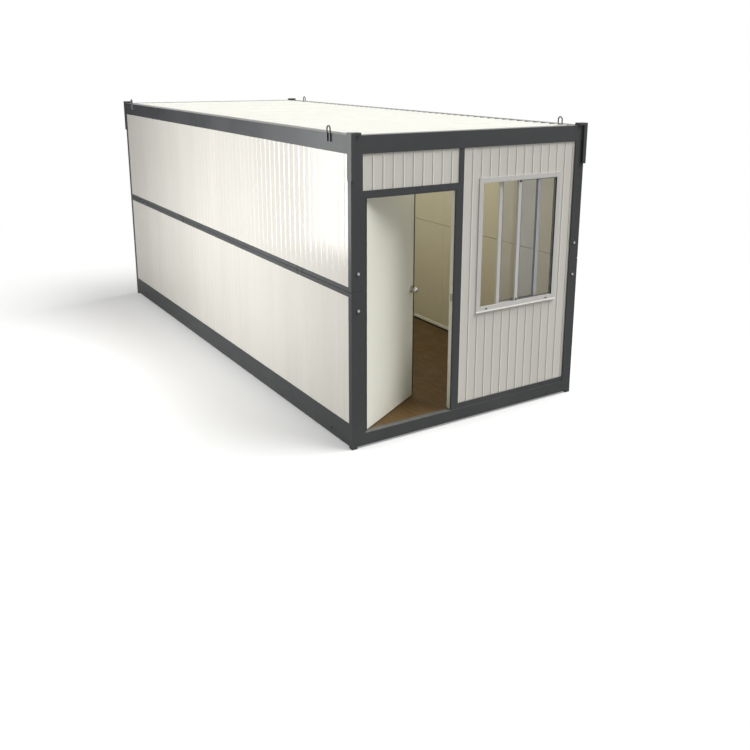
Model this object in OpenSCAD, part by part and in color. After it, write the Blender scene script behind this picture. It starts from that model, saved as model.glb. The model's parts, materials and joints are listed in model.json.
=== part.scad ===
// Folding prefab house, standing erected on its feet.
// X runs across the width, Y runs from the front (door end) to the rear, and Z is up.
// The origin is on the ground, under the middle of the house.

/* [Body] */
// Length over the end posts
house_l = 5800; // [4800:50:6000]
// Width over the side walls
house_w = 2440; // [2340:10:2600]
// Height from the ground to the top of the roof beams
house_h = 2550; // [2450:10:2700]

/* [Floor] */
// Height of the feet under the four corners
foot_h = 20; // [10:5:40]
// Side of a square foot
foot_side = 50; // [40:5:160]
// Height of the floor beams
floor_beam_h = 105; // [90:5:140]
// Width of the floor beams
floor_beam_w = 100; // [80:5:120]
// Thickness of the floor board
board_t = 18; // [12:1:25]
// Height of a floor joist
joist_h = 60; // [40:5:70]
// Width of a floor joist
joist_w = 50; // [40:5:80]
// Largest distance between the middles of two joists
joist_pitch = 560; // [350:10:600]
// Diameter of an anchor hole in a side beam of the floor
anchor_d = 18; // [14:1:24]
// Distance of an anchor hole from the end of the house
anchor_inset = 340; // [250:10:500]

/* [Roof] */
// Height of the roof beams
roof_beam_h = 140; // [120:5:160]
// Width of the roof beams at the two ends
end_beam_w = 80; // [75:5:120]
// Thickness of the roof panel
roof_panel_t = 70; // [50:5:80]
// Depth of the roof panel's flat top below the top of the beams
roof_panel_drop = 30; // [28:1:40]
// Largest distance between the middles of two ribs on the roof panel
roof_rib_pitch = 115; // [90:5:250]
// Width of a roof rib at its foot
roof_rib_foot = 44; // [36:1:60]
// Width of a roof rib at its top
roof_rib_crest = 22; // [12:1:32]
// Depth of the ribs' tops below the top of the beams
roof_rib_drop = 1; // [1:1:8]

/* [Side walls] */
// Thickness of a side wall
wall_t = 106; // [95:1:120]
// Width of an end post, along the wall
stile_w = 50; // [40:5:60]
// Height of the bottom rail
kerb_h = 92; // [70:2:110]
// Height of each of the two rails at the fold line
mid_rail_h = 36; // [30:1:50]
// Height of the hidden top rail
top_rail_h = 50; // [40:5:60]
// Gap between the lower and the upper half of a side wall
seam_gap = 4; // [3:1:8]
// Depth of the upper fold pins below the top of the roof beams
roof_pin_drop = 60; // [40:5:90]
// Depth of the outer skin behind the faces of the rails and posts
skin_back = 5; // [4:1:10]
// Thickness of the skin in front of the hidden top rail
skin_t = 7; // [4:1:12]
// Thickness of the inner lining over the rails
liner_t = 6; // [4:1:12]
// Distance of the seal from both faces of the wall
seal_inset = 30; // [20:5:40]

/* [End walls] */
// Depth of the rails and jambs behind the faces of the posts
rail_back = 3; // [2:1:6]
// Depth of the panels behind the faces of the posts
panel_back = 12; // [10:1:16]
// Depth of the inner face of an end wall behind the faces of the posts
end_wall_in = 72; // [72:1:74]
// Height of the bottom rail of an end wall
end_rail_h = 50; // [40:5:70]
// Width of an upright between two panels
mullion_w = 48; // [40:2:60]
// Height of the rail over the door
head_rail_h = 33; // [30:1:50]

/* [Door] */
// Clear width of the doorway between the stops
door_w = 871; // [800:1:900]
// Clear height of the doorway under the stop
door_h = 1942; // [1850:1:2000]
// Width of the two jambs and height of the head piece
jamb_w = 22; // [18:1:30]
// How far the stop stands out of the jambs and the head piece
stop_w = 6; // [5:1:10]
// Depth of the stop
stop_t = 15; // [10:1:15]
// Clearance around the leaf
leaf_gap = 5; // [5:1:7]
// Clearance between the leaf and the floor
leaf_floor_gap = 12; // [8:1:20]
// Thickness of the leaf
leaf_t = 48; // [40:1:48]
// Opening of the leaf from its closed place, in degrees
leaf_open = 30; // [0:1:85]

/* [Hinges] */
// Number of hinges on the door
hinge_count = 3; // [2:1:4]
// Length of a hinge
hinge_l = 100; // [80:5:120]
// Outer diameter of the knuckles
knuckle_d = 16; // [14:1:16]
// Diameter of the hinge pin
pin_d = 8; // [6:1:9]
// Clearance around the pin
pin_gap = 0.1; // [0.05:0.01:0.1]
// Gap between the two knuckles of a hinge
knuckle_gap = 2; // [1:0.5:4]
// Thickness of a hinge plate
plate_t = 3; // [2:0.5:4]
// Width of the plate on the leaf
plate_w = 40; // [30:1:50]
// Distance of the outer hinges from the ends of the leaf
hinge_inset = 190; // [150:10:300]

/* [Knob] */
// Height of the knob above the floor
knob_h = 1020; // [800:10:1050]
// Distance of the knob from the free edge of the leaf
knob_inset = 60; // [50:1:80]
// Diameter of the ball
ball_d = 50; // [40:1:56]
// Distance of the ball's end from the face of the leaf
knob_reach = 66; // [60:1:75]
// Diameter of the neck and the spindle
neck_d = 20; // [16:1:24]
// Diameter of the round plate under the knob
rose_d = 66; // [56:1:72]
// Thickness of the round plate
rose_t = 6; // [4:1:8]
// Clearance around the spindle
spindle_gap = 2; // [1:0.5:3]

/* [Window] */
// Height of the window frame
window_h = 1170; // [1000:10:1250]
// Height of the window's underside above the floor
window_sill = 855; // [800:5:950]
// Width of the wall between the upright beside the door and the window
window_offset = 170; // [130:5:220]
// Width of the wall between the window and the right post
window_margin = 159; // [119:5:209]
// Width of the frame's face
casing_w = 44; // [36:1:60]
// Depth of the frame's face behind the faces of the posts
casing_back = 2; // [0:1:6]
// Thickness of the frame's face
casing_t = 8; // [6:1:10]
// Thickness of the frame's walls around the sashes
casing_wall = 12; // [10:1:16]
// Gap between the frame's face and the outer sash
face_gap = 2; // [1:0.5:3]
// Overlap of the two sashes when the window is shut
sash_overlap = 40; // [28:1:44]
// Width of a sash's members
sash_bar = 36; // [28:1:40]
// Thickness of a sash
sash_t = 22; // [18:1:24]
// Gap between the two sashes
sash_gap = 4; // [3:1:6]
// Thickness of the glass
glass_t = 5; // [4:1:8]
// Distance of the slid sash from its closed place
slid_by = 240; // [0:1:380]

/* [Fittings] */
// Thickness of the corner guides
guide_t = 8; // [6:1:12]
// Distance of a guide's end face from the posts
guide_stand = 12; // [8:1:20]
// Reach of a guide along the side wall
guide_side = 45; // [35:1:60]
// Reach of a guide across the end wall
guide_end = 30; // [25:1:50]
// Reach of a guide below the roof beams
guide_drop = 200; // [150:5:300]
// Height of the cap on a corner
cap_h = 22; // [15:1:30]
// Width of the cap
cap_w = 80; // [60:5:100]
// Depth of the cap
cap_d = 50; // [40:5:70]
// Rod diameter of a lifting ring
ring_rod = 12; // [10:1:16]
// Middle radius of a lifting ring
ring_r = 25; // [22:1:40]
// Length of the legs on the face of the roof beam
ring_leg = 66; // [50:2:90]
// Length of the legs above the roof beam
ring_rise = 30; // [25:1:50]
// Distance of a lifting ring from the end of the house
ring_inset = 330; // [250:10:600]
// Width across the flats' corners of a bolt head
bolt_d = 24; // [18:1:30]
// Height of a bolt head
bolt_h = 8; // [6:1:12]
// Diameter of the washer
washer_d = 32; // [26:1:40]
// Thickness of the washer
washer_t = 2; // [1:0.5:4]
// Distance of the bolts from the outer side of a post
bolt_inset = 60; // [40:1:80]
// Distance of the bolts from the fold line
bolt_offset = 150; // [100:5:200]

/* [Hidden] */
$fn = 48;

frame_grey = [0.27, 0.28, 0.29];
panel_white = [0.86, 0.86, 0.83];
window_white = [0.92, 0.92, 0.90];
steel = [0.72, 0.73, 0.74];

half_l = house_l / 2;
half_w = house_w / 2;
floor_z = foot_h + floor_beam_h;
roof_z = house_h - roof_beam_h;
fold_z = (floor_z + kerb_h / 2 + house_h - roof_pin_drop) / 2;
lower_top_z = fold_z - seam_gap / 2;
upper_low_z = fold_z + seam_gap / 2;

// Faces of a side wall, left side
rail_in_x = -half_w + wall_t - liner_t;
wall_in_x = -half_w + wall_t;
stile_y = half_l - stile_w;

// Faces of the front wall
rail_y = -half_l + rail_back;
panel_y = -half_l + panel_back;
end_in_y = -half_l + end_wall_in;

// Places across the front wall
jamb_left_x = wall_in_x + jamb_w;
jamb_right_x = jamb_left_x + 2 * stop_w + door_w;
mullion_x = jamb_right_x + jamb_w;
mullion_right_x = mullion_x + mullion_w;
wall_right_x = half_w - wall_t;
head_z = floor_z + door_h + stop_w;
head_rail_z = head_z + jamb_w;
transom_z = head_rail_z + head_rail_h;

// The window in the front wall
window_x = mullion_right_x + window_offset;
window_w = wall_right_x - window_margin - window_x;
window_z = floor_z + window_sill;
casing_y = -half_l + casing_back;
outer_sash_y = casing_y + casing_t + face_gap;
inner_sash_y = outer_sash_y + sash_t + sash_gap;
sash_low_z = window_z + casing_wall;
sash_high_z = window_z + window_h - casing_wall;
sash_w = (window_w - 2 * casing_wall + sash_overlap) / 2;
outer_sash_x = window_x + window_w - casing_wall - sash_w;
inner_sash_x = window_x + casing_wall + slid_by;

// The leaf in its own frame: the hinge axis is the origin, and the leaf runs along +X
hinge_x = jamb_left_x + 2;
hinge_y = end_in_y + knuckle_d / 2;
leaf_x0 = jamb_left_x + leaf_gap - hinge_x;
leaf_x1 = jamb_right_x - leaf_gap - hinge_x;
leaf_y1 = -knuckle_d / 2 - 1;
leaf_y0 = leaf_y1 - leaf_t;
leaf_z0 = floor_z + leaf_floor_gap;
leaf_z1 = head_z - leaf_gap;
hinge_zs = [for (i = [0 : hinge_count - 1])
    leaf_z0 + hinge_inset + i * (leaf_z1 - leaf_z0 - 2 * hinge_inset - hinge_l) / (hinge_count - 1)];
knob_x = leaf_x1 - knob_inset;
knob_z = floor_z + knob_h;

// A box between its lowest and its highest corner
module block(low, high) {
    translate(low) cube(high - low);
}

// The same thing at all four corners of the house
module four_corners() {
    for (side = [0, 1], end = [0, 1])
        mirror([side, 0, 0]) mirror([0, end, 0]) children();
}

// The leaf's own frame, turned to where the door stands
module on_leaf() {
    translate([hinge_x, hinge_y, 0]) rotate([0, 0, leaf_open]) children();
}

// ---- Floor ----

module corner_feet() {
    color(frame_grey) four_corners()
        block([-half_w, -half_l, 0], [-half_w + foot_side, -half_l + foot_side, foot_h]);
}

module floor_front_beam() {
    color(frame_grey)
        block([-half_w, -half_l, foot_h], [half_w, -half_l + floor_beam_w, floor_z]);
}

module floor_rear_beam() {
    mirror([0, 1, 0]) floor_front_beam();
}

module floor_left_beam() {
    beam_y = half_l - floor_beam_w;
    color(frame_grey) difference() {
        block([-half_w, -beam_y, foot_h], [-half_w + floor_beam_w, beam_y, floor_z]);
        for (side = [-1, 1])
            translate([-half_w - 1, side * (half_l - anchor_inset), foot_h + floor_beam_h / 2])
                rotate([0, 90, 0]) cylinder(d = anchor_d, h = floor_beam_w + 2);
    }
}

module floor_right_beam() {
    mirror([1, 0, 0]) floor_left_beam();
}

module floor_joists() {
    span = house_l - 2 * floor_beam_w;
    count = ceil(span / joist_pitch) - 1;
    step = span / (count + 1);
    top = floor_z - board_t;
    color(frame_grey) for (i = [1 : count])
        translate([0, -span / 2 + i * step, 0])
            block([-half_w + floor_beam_w, -joist_w / 2, top - joist_h],
                  [half_w - floor_beam_w, joist_w / 2, top]);
}

module floor_board() {
    color([0.36, 0.28, 0.19])
        block([-half_w + floor_beam_w, -half_l + floor_beam_w, floor_z - board_t],
              [half_w - floor_beam_w, half_l - floor_beam_w, floor_z]);
}

// ---- Side walls ----

// Tube frame of one half of the left wall: two posts with a rail at the bottom and at the top
module wall_frame(low_z, high_z, bottom_h, top_h, top_back = 0) {
    color(frame_grey) {
        for (y = [-half_l, stile_y])
            block([-half_w, y, low_z], [wall_in_x, y + stile_w, high_z]);
        block([-half_w, -stile_y, low_z], [rail_in_x, stile_y, low_z + bottom_h]);
        block([-half_w + top_back, -stile_y, high_z - top_h], [rail_in_x, stile_y, high_z]);
    }
}

// Insulated panel of one half of the left wall, with its lining over the rails
module wall_panel(low_z, high_z, bottom_h, top_h, top_back = 0) {
    color(panel_white) {
        block([-half_w + skin_back, -stile_y, low_z + bottom_h], [wall_in_x, stile_y, high_z - top_h]);
        block([rail_in_x, -stile_y, low_z], [wall_in_x, stile_y, high_z]);
        if (top_back > skin_back)
            block([-half_w + skin_back, -stile_y, high_z - top_h],
                  [-half_w + top_back, stile_y, high_z]);
    }
}

module left_lower_frame() {
    wall_frame(floor_z, lower_top_z, kerb_h, mid_rail_h);
}

module left_lower_panel() {
    wall_panel(floor_z, lower_top_z, kerb_h, mid_rail_h);
}

module left_upper_frame() {
    wall_frame(upper_low_z, roof_z, mid_rail_h, top_rail_h, skin_back + skin_t);
}

module left_upper_panel() {
    wall_panel(upper_low_z, roof_z, mid_rail_h, top_rail_h, skin_back + skin_t);
}

module right_lower_frame() {
    mirror([1, 0, 0]) left_lower_frame();
}

module right_lower_panel() {
    mirror([1, 0, 0]) left_lower_panel();
}

module right_upper_frame() {
    mirror([1, 0, 0]) left_upper_frame();
}

module right_upper_panel() {
    mirror([1, 0, 0]) left_upper_panel();
}

// Rubber strips that close the fold line of both side walls
module fold_seals() {
    color([0.1, 0.1, 0.1]) for (side = [0, 1])
        mirror([side, 0, 0])
            block([-half_w + seal_inset, -half_l, lower_top_z],
                  [wall_in_x - seal_inset, half_l, upper_low_z]);
}

// ---- Roof ----

module roof_front_beam() {
    color(frame_grey)
        block([-half_w, -half_l, roof_z], [half_w, -half_l + end_beam_w, house_h]);
}

module roof_rear_beam() {
    mirror([0, 1, 0]) roof_front_beam();
}

module roof_left_beam() {
    beam_y = half_l - end_beam_w;
    color(frame_grey)
        block([-half_w, -beam_y, roof_z], [wall_in_x, beam_y, house_h]);
}

module roof_right_beam() {
    mirror([1, 0, 0]) roof_left_beam();
}

// Flat panel between the beams, with ribs across the house on its top
module roof_panel() {
    top = house_h - roof_panel_drop;
    front = -half_l + end_beam_w;
    length = -2 * front;
    count = ceil(length / roof_rib_pitch);
    pitch = length / count;
    ribs = [for (i = [0 : count - 1], point = [
        [-roof_rib_foot / 2, top], [-roof_rib_crest / 2, house_h - roof_rib_drop],
        [roof_rib_crest / 2, house_h - roof_rib_drop], [roof_rib_foot / 2, top]])
            [front + (i + 0.5) * pitch + point[0], point[1]]];
    color(panel_white)
        translate([wall_in_x, 0, 0]) rotate([90, 0, 90])
            linear_extrude(height = -2 * wall_in_x)
                polygon(concat(
                    [[-front, top], [-front, top - roof_panel_t], [front, top - roof_panel_t], [front, top]],
                    ribs));
}

// ---- Fittings ----

// Angle that hangs from a roof corner and guides the post, with a cap on top
module corner_guide() {
    low = roof_z - guide_drop;
    top = house_h + cap_h;
    end_y = -guide_stand - guide_t;
    translate([-half_w, -half_l, 0]) {
        block([-guide_t, end_y, low], [0, guide_side, top]);
        block([-guide_t, end_y, low], [guide_end, -guide_stand, top]);
        block([0, end_y, roof_z], [guide_end, 0, top]);
        block([-guide_t, end_y, house_h], [cap_w, cap_d, top]);
    }
}

module corner_guides() {
    color(frame_grey) four_corners() corner_guide();
}

// Hoop of round rod, welded to the outer face of a roof beam
module lifting_ring() {
    weld_w = ring_rod / 2;
    translate([-half_w - ring_rod / 2, -half_l + ring_inset, house_h]) {
        for (side = [-1, 1]) translate([0, side * ring_r, 0]) {
            translate([0, 0, -ring_leg]) cylinder(d = ring_rod, h = ring_leg + ring_rise);
            block([0, -weld_w / 2, -ring_leg], [ring_rod / 2, weld_w / 2, 0]);
        }
        translate([0, 0, ring_rise]) rotate([90, 0, 90])
            rotate_extrude(angle = 180) translate([ring_r, 0]) circle(d = ring_rod);
    }
}

module lifting_rings() {
    color(steel) four_corners() lifting_ring();
}

module post_bolts() {
    color(steel) four_corners() for (side = [-1, 1])
        translate([-half_w + bolt_inset, -half_l, fold_z + side * bolt_offset]) rotate([90, 0, 0]) {
            cylinder(d = washer_d, h = washer_t);
            translate([0, 0, washer_t]) cylinder(d = bolt_d, h = bolt_h, $fn = 6);
        }
}

// ---- Front wall ----

module front_bottom_rail() {
    color(frame_grey)
        block([mullion_right_x, rail_y, floor_z], [wall_right_x, end_in_y, floor_z + end_rail_h]);
}

module front_mullion() {
    color(frame_grey)
        block([mullion_x, rail_y, floor_z], [mullion_right_x, end_in_y, roof_z]);
}

module door_head_rail() {
    color(frame_grey)
        block([wall_in_x, rail_y, head_rail_z], [mullion_x, end_in_y, transom_z]);
}

module transom_panel() {
    color(panel_white)
        block([wall_in_x, panel_y, transom_z], [mullion_x, end_in_y, roof_z]);
}

// The strips on both sides of the window
module front_wall_sides() {
    low = floor_z + end_rail_h;
    color(panel_white) {
        block([mullion_right_x, panel_y, low], [window_x, end_in_y, roof_z]);
        block([window_x + window_w, panel_y, low], [wall_right_x, end_in_y, roof_z]);
    }
}

module front_wall_below() {
    color(panel_white)
        block([window_x, panel_y, floor_z + end_rail_h], [window_x + window_w, end_in_y, window_z]);
}

module front_wall_above() {
    color(panel_white)
        block([window_x, panel_y, window_z + window_h], [window_x + window_w, end_in_y, roof_z]);
}

// ---- Window ----

// Four bars around an opening, from its lowest to its highest corner outside
module bar_ring(low, high, bar) {
    difference() {
        block(low, high);
        block([low[0] + bar, low[1] - 1, low[2] + bar], [high[0] - bar, high[1] + 1, high[2] - bar]);
    }
}

// A wide face in front of the sashes, and narrow walls around them
module window_frame() {
    low = [window_x, casing_y, window_z];
    high = [window_x + window_w, end_in_y, window_z + window_h];
    color(window_white) {
        bar_ring(low, [high[0], casing_y + casing_t, high[2]], casing_w);
        bar_ring(low, high, casing_wall);
    }
}

module outer_sash() {
    color(window_white)
        bar_ring([outer_sash_x, outer_sash_y, sash_low_z],
                 [outer_sash_x + sash_w, outer_sash_y + sash_t, sash_high_z], sash_bar);
}

module inner_sash() {
    color(window_white)
        bar_ring([inner_sash_x, inner_sash_y, sash_low_z],
                 [inner_sash_x + sash_w, inner_sash_y + sash_t, sash_high_z], sash_bar);
}

// One pane in the middle of each sash
module window_glass() {
    color([0.7, 0.75, 0.75, 0.4])
        for (corner = [[outer_sash_x, outer_sash_y], [inner_sash_x, inner_sash_y]])
            translate([corner[0] + sash_bar, corner[1] + (sash_t - glass_t) / 2, sash_low_z + sash_bar])
                cube([sash_w - 2 * sash_bar, glass_t, sash_high_z - sash_low_z - 2 * sash_bar]);
}

// ---- Rear wall ----

module rear_bottom_rail() {
    color(frame_grey)
        block([wall_in_x, -end_in_y, floor_z], [-wall_in_x, -rail_y, floor_z + end_rail_h]);
}

module rear_mullion() {
    color(frame_grey)
        block([-mullion_w / 2, -end_in_y, floor_z + end_rail_h], [mullion_w / 2, -rail_y, roof_z]);
}

module rear_left_panel() {
    color(panel_white)
        block([wall_in_x, -end_in_y, floor_z + end_rail_h], [-mullion_w / 2, -panel_y, roof_z]);
}

module rear_right_panel() {
    mirror([1, 0, 0]) rear_left_panel();
}

// ---- Door ----

// Two jambs and a head piece, with a stop at the front that the leaf closes on
module door_frame() {
    color(frame_grey) {
        difference() {
            block([wall_in_x, rail_y, floor_z], [mullion_x, end_in_y, head_rail_z]);
            block([jamb_left_x, rail_y - 1, floor_z - 1], [jamb_right_x, end_in_y + 1, head_z]);
        }
        difference() {
            block([jamb_left_x, rail_y, floor_z], [jamb_right_x, rail_y + stop_t, head_z]);
            block([jamb_left_x + stop_w, rail_y - 1, floor_z - 1],
                  [jamb_right_x - stop_w, rail_y + stop_t + 1, head_z - stop_w]);
        }
    }
}

// Lower knuckle of each hinge with its pin and the plate on the jamb
module frame_hinges() {
    knuckle_l = (hinge_l - knuckle_gap) / 2;
    plate_x = wall_in_x - hinge_x;
    clear_x = -knuckle_d / 2 - 1;
    color(steel) for (z = hinge_zs) translate([hinge_x, hinge_y, z]) {
        cylinder(d = knuckle_d, h = knuckle_l);
        cylinder(d = pin_d, h = hinge_l - 2);
        block([plate_x, -knuckle_d / 2, 0], [0, plate_t - knuckle_d / 2, knuckle_l]);
        block([plate_x, -knuckle_d / 2, 0], [clear_x, plate_t - knuckle_d / 2, hinge_l]);
    }
}

// Upper knuckle of each hinge with the plate on the leaf
module leaf_hinges() {
    knuckle_l = (hinge_l - knuckle_gap) / 2;
    clear_x = knuckle_d / 2 + 1;
    color(steel) on_leaf() for (z = hinge_zs) translate([0, 0, z]) {
        difference() {
            union() {
                translate([0, 0, hinge_l - knuckle_l]) cylinder(d = knuckle_d, h = knuckle_l);
                block([0, leaf_y1, hinge_l - knuckle_l], [plate_w, leaf_y1 + plate_t, hinge_l]);
            }
            translate([0, 0, hinge_l - knuckle_l - 1])
                cylinder(d = pin_d + 2 * pin_gap, h = knuckle_l + 2);
        }
        block([clear_x, leaf_y1, 0], [plate_w, leaf_y1 + plate_t, hinge_l]);
    }
}

// A round bar through the leaf at the knob
module through_leaf(diameter, front, back) {
    translate([knob_x, leaf_y0 - front, knob_z]) rotate([-90, 0, 0])
        cylinder(d = diameter, h = leaf_t + front + back);
}

module door_leaf() {
    color([0.84, 0.84, 0.78]) on_leaf() difference() {
        block([leaf_x0, leaf_y0, leaf_z0], [leaf_x1, leaf_y1, leaf_z1]);
        through_leaf(neck_d + 2 * spindle_gap, 1, 1);
    }
}

// Round plates on both faces of the leaf
module knob_roses() {
    color(steel) on_leaf() difference() {
        through_leaf(rose_d, rose_t, rose_t);
        block([leaf_x0, leaf_y0, knob_z - rose_d], [leaf_x1, leaf_y1, knob_z + rose_d]);
        through_leaf(neck_d + 2 * spindle_gap, rose_t + 1, rose_t + 1);
    }
}

// Two balls on one spindle
module door_knob() {
    ball_out = knob_reach - ball_d / 2;
    color(steel) on_leaf() {
        through_leaf(neck_d, ball_out, ball_out);
        for (y = [leaf_y0 - ball_out, leaf_y1 + ball_out])
            translate([knob_x, y, knob_z]) sphere(d = ball_d);
    }
}

corner_feet();
floor_front_beam();
floor_rear_beam();
floor_left_beam();
floor_right_beam();
floor_joists();
floor_board();
left_lower_frame();
left_lower_panel();
left_upper_frame();
left_upper_panel();
right_lower_frame();
right_lower_panel();
right_upper_frame();
right_upper_panel();
fold_seals();
roof_front_beam();
roof_rear_beam();
roof_left_beam();
roof_right_beam();
roof_panel();
corner_guides();
lifting_rings();
post_bolts();
front_bottom_rail();
front_mullion();
door_head_rail();
transom_panel();
front_wall_sides();
front_wall_below();
front_wall_above();
window_frame();
outer_sash();
inner_sash();
window_glass();
rear_bottom_rail();
rear_mullion();
rear_left_panel();
rear_right_panel();
door_frame();
frame_hinges();
door_leaf();
leaf_hinges();
knob_roses();
door_knob();
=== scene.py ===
import json
import math
import bmesh
import bpy
from mathutils import Matrix, Vector


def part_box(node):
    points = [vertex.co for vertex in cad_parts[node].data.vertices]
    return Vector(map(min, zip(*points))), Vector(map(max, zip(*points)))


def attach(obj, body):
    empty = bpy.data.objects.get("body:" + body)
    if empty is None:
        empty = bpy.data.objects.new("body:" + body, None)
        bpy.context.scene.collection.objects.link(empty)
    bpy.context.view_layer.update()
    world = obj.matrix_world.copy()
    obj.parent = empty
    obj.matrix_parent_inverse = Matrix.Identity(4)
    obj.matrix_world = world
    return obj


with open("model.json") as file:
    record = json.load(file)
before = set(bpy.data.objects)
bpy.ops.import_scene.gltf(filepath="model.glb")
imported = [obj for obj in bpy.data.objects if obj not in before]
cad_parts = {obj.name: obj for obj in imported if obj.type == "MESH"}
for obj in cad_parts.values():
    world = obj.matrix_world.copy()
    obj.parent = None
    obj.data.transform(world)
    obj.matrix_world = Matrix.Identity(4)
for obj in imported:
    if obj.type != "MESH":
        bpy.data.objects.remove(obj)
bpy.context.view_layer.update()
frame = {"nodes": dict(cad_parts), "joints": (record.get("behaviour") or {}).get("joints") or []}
nodes = frame["nodes"]
scene = bpy.context.scene
print("frame: loaded", len(nodes), "nodes")


def addObject(name, data):
    thing = bpy.data.objects.new(name, data)
    scene.collection.objects.link(thing)
    return thing


# camera, standing off the near left corner of the house

cameraValues = {
    "place": (-4.4595, -8.4290, 3.0803),
    "yaw": 33.122,       # degrees from +Y towards +X
    "pitch": -14.208,
    "roll": 0.400,
    "lens": 40.806,
    "sensor": 36.0,
    "shift": (-0.02148, -0.12936),
    "farClip": 200.0,
}


def addCamera(values):
    yaw = math.radians(values["yaw"])
    pitch = math.radians(values["pitch"])
    roll = math.radians(values["roll"])
    ahead = Vector((math.sin(yaw) * math.cos(pitch), math.cos(yaw) * math.cos(pitch), math.sin(pitch)))
    across = Vector((math.cos(yaw), -math.sin(yaw), 0.0))
    upward = across.cross(ahead)
    axisX = across * math.cos(roll) + upward * math.sin(roll)
    axisY = upward * math.cos(roll) - across * math.sin(roll)
    data = bpy.data.cameras.new("houseCamera")
    data.sensor_width = values["sensor"]
    data.lens = values["lens"]
    data.shift_x, data.shift_y = values["shift"]
    data.clip_end = values["farClip"]
    camera = addObject("houseCamera", data)
    turn = Matrix((axisX, axisY, -ahead)).transposed().to_4x4()
    camera.matrix_world = Matrix.Translation(values["place"]) @ turn
    scene.camera = camera


addCamera(cameraValues)
print("camera: placed")


# small helpers for node trees

def feed(tree, socket, value):
    if isinstance(value, bpy.types.NodeSocket):
        tree.links.new(value, socket)
    else:
        socket.default_value = value


def put(tree, kind, values=None, **settings):
    node = tree.nodes.new(kind)
    for key, setting in settings.items():
        setattr(node, key, setting)
    for key, value in (values or {}).items():
        feed(tree, node.inputs[key], value)
    return node


def startGroup(name, kind, inputs, outputs):
    group = bpy.data.node_groups.new(name, kind)
    for label, socketType, value in inputs:
        socket = group.interface.new_socket(name=label, in_out="INPUT", socket_type=socketType)
        if value is not None:
            socket.default_value = value
    for label, socketType in outputs:
        group.interface.new_socket(name=label, in_out="OUTPUT", socket_type=socketType)
    return group, group.nodes.new("NodeGroupInput"), group.nodes.new("NodeGroupOutput")


def objectCoords(tree):
    return put(tree, "ShaderNodeTexCoord").outputs["Object"]


def heightOf(tree, vector):
    return put(tree, "ShaderNodeSeparateXYZ", {0: vector}).outputs["Z"]


def noiseOf(tree, vector, scale, detail, roughness=0.5, distortion=0.0):
    return put(tree, "ShaderNodeTexNoise", {
        "Vector": vector, "Scale": scale, "Detail": detail, "Roughness": roughness,
        "Distortion": distortion}).outputs[0]


def maths(tree, operation, first, second=0.0, clamp=False):
    node = put(tree, "ShaderNodeMath", {0: first, 1: second}, operation=operation, use_clamp=clamp)
    return node.outputs[0]


def mixColour(tree, amount, first, second):
    node = tree.nodes.new("ShaderNodeMix")
    node.data_type = "RGBA"
    feed(tree, node.inputs[0], amount)
    feed(tree, node.inputs[6], first)
    feed(tree, node.inputs[7], second)
    return node.outputs[2]


def spread(tree, value, fromLow, fromHigh, toLow=0.0, toHigh=1.0):
    ranges = {"Value": value, "From Min": fromLow, "From Max": fromHigh, "To Min": toLow, "To Max": toHigh}
    return put(tree, "ShaderNodeMapRange", ranges).outputs[0]


def paint(red, green, blue):
    # a screen colour, 0 to 255, as the linear colour that a shader takes
    def linear(value):
        share = value / 255.0
        return share / 12.92 if share <= 0.04045 else ((share + 0.055) / 1.055) ** 2.4
    return (linear(red), linear(green), linear(blue), 1.0)


# shader groups that several finishes share

grainValues = {
    "grainDetail": 2.0,
    "toneDetail": 4.0,
    "toneRoughness": 0.6,
    "toneRange": (0.32, 0.68),
}

edgeValues = {
    "samples": 4,
    "bendRange": (0.995, 0.80),     # agreement of rounded and flat normal: unworn, and fully worn
    "chipScale": 60.0,
    "chipDetail": 5.0,
    "chipRoughness": 0.7,
    "chipRange": (0.52, 0.66),
}

dustAndTopLightValues = {
    "topRange": (0.5, 1.0),         # how level a face has to be for dust to lie on it
    "patchScale": 5.0,
    "patchDetail": 6.0,
    "patchRoughness": 0.65,
    "patchRange": (0.3, 0.75),
}


def makeGrainGroup(values):
    # fine grain for bump, and a slow change of tone that can be stretched along an axis
    group, source, result = startGroup("surfaceGrain", "ShaderNodeTree", [
        ("Grain Scale", "NodeSocketFloat", 400.0),
        ("Tone Scale", "NodeSocketFloat", 2.0),
        ("Stretch", "NodeSocketVector", (1.0, 1.0, 1.0)),
    ], [("Height", "NodeSocketFloat"), ("Tone", "NodeSocketFloat")])
    coords = objectCoords(group)
    stretched = put(group, "ShaderNodeVectorMath", {0: coords, 1: source.outputs["Stretch"]},
                    operation="MULTIPLY").outputs[0]
    grain = noiseOf(group, coords, source.outputs["Grain Scale"], values["grainDetail"])
    tone = noiseOf(group, stretched, source.outputs["Tone Scale"], values["toneDetail"],
                   values["toneRoughness"])
    group.links.new(grain, result.inputs["Height"])
    group.links.new(spread(group, tone, *values["toneRange"]), result.inputs["Tone"])
    return group


def makeEdgeGroup(values):
    # rounds the shading of sharp edges, and masks the places where paint wears through
    group, source, result = startGroup("edgeWear", "ShaderNodeTree", [
        ("Radius", "NodeSocketFloat", 0.003),
        ("Amount", "NodeSocketFloat", 0.5),
    ], [("Mask", "NodeSocketFloat"), ("Normal", "NodeSocketVector")])
    bevel = put(group, "ShaderNodeBevel", {"Radius": source.outputs["Radius"]},
                samples=values["samples"]).outputs[0]
    flat = put(group, "ShaderNodeNewGeometry").outputs["Normal"]
    match = put(group, "ShaderNodeVectorMath", {0: bevel, 1: flat}, operation="DOT_PRODUCT").outputs[1]
    bend = spread(group, match, *values["bendRange"])
    chips = noiseOf(group, objectCoords(group), values["chipScale"], values["chipDetail"],
                    values["chipRoughness"])
    broken = spread(group, chips, *values["chipRange"])
    worn = maths(group, "MULTIPLY", maths(group, "MULTIPLY", bend, broken), source.outputs["Amount"], True)
    group.links.new(worn, result.inputs["Mask"])
    group.links.new(bevel, result.inputs["Normal"])
    return group


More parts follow.
